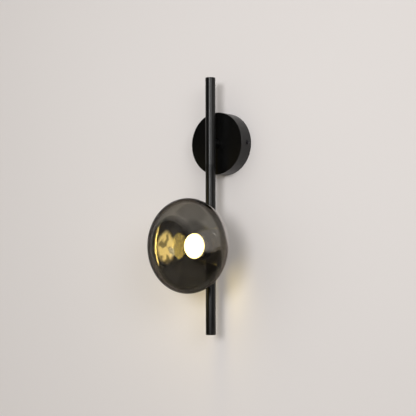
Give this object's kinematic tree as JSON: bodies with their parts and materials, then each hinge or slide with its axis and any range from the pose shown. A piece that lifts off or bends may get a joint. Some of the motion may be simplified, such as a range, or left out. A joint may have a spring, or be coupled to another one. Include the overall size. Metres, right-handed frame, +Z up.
{
  "type": "globe wall sconce",
  "caption": "Wall light with a round black canopy, a vertical black rod and a flattened smoked mirror-glass shade that is held by a ring nut over a plug-in lamp.",
  "frame": {"origin": "on the wall, behind the middle of the canopy and midway between the two slots for the wall screws", "axes": "+Z up along the rod, +Y into the wall, so the front faces -Y, and +X to the right seen from the front"},
  "size_m": [0.148, 0.1405, 0.41],
  "materials": {
    "zinc_steel": "zinc plated",
    "tinned_copper": "tinned",
    "nylon": "moulded nylon",
    "brass": "turned",
    "black_powder_coat": "satin black powder coat",
    "black_steel": "black oxide",
    "steatite": "fired steatite",
    "nickel_bronze": "nickel-plated spring bronze",
    "smoked_mirror_glass": "smoke-grey mirror coating inside blown glass",
    "silicone": "translucent silicone",
    "white_plastic": "moulded PBT",
    "frosted_dome": "frosted, lit warm white",
    "aluminium_board": "white solder mask on aluminium",
    "led_phosphor": "phosphor",
    "nickel_wire": "nickel-plated wire",
    "brown_lead": "silicone insulation",
    "blue_lead": "silicone insulation",
    "green_lead": "green and yellow insulation"
  },
  "bodies": {
    "fixture": {"arm_collar": "black_powder_coat", "arm_nipple": "zinc_steel", "arm_nut": "zinc_steel", "canopy": "black_powder_coat", "canopy_lock_washer": "zinc_steel", "canopy_nipple": "zinc_steel", "canopy_nut": "zinc_steel", "canopy_screws": "black_steel", "earth_screw": "zinc_steel", "earth_tag": "tinned_copper", "holder_cup": "black_powder_coat", "lampholder": "steatite", "lampholder_contacts": "nickel_bronze", "lampholder_screws": "zinc_steel", "lead_earth": "green_lead", "lead_live": "brown_lead", "lead_neutral": "blue_lead", "mounting_bracket": "zinc_steel", "rod_bottom_cap": "black_powder_coat", "rod_insert_lower": "brass", "rod_insert_upper": "brass", "rod_top_cap": "black_powder_coat", "rod_tube": "black_powder_coat", "standoff_collar": "black_powder_coat", "terminal_block": "nylon", "terminal_clamps": "brass", "terminal_screws": "zinc_steel"},
    "shade": {"glass_shade": "smoked_mirror_glass", "neck_collar": "black_powder_coat", "shade_gasket": "silicone"},
    "ring": {"shade_ring": "black_powder_coat"},
    "lamp": {"lamp_body": "white_plastic", "lamp_dome": "frosted_dome", "lamp_board": "aluminium_board", "lamp_chips": "led_phosphor", "lamp_pins": "nickel_wire"}
  },
  "joints": [
    {"name": "shade_slide", "type": "slide", "parent": "fixture", "child": "shade", "axis": [0, -1, 0], "range_m": [0, 0.005]},
    {"name": "ring_turn", "type": "hinge", "parent": "shade", "child": "ring", "pos_m": [0, -0.0585, -0.165], "axis": [0, -1, 0], "range_deg": [0, 900]},
    {"name": "lamp_pull", "type": "slide", "parent": "fixture", "child": "lamp", "axis": [0, -1, 0], "range_m": [0, 0.012]}
  ],
  "couplings": [
    {"joint": "shade_slide", "follows": "ring_turn", "m_per_rad": 0.0003183}
  ]
}
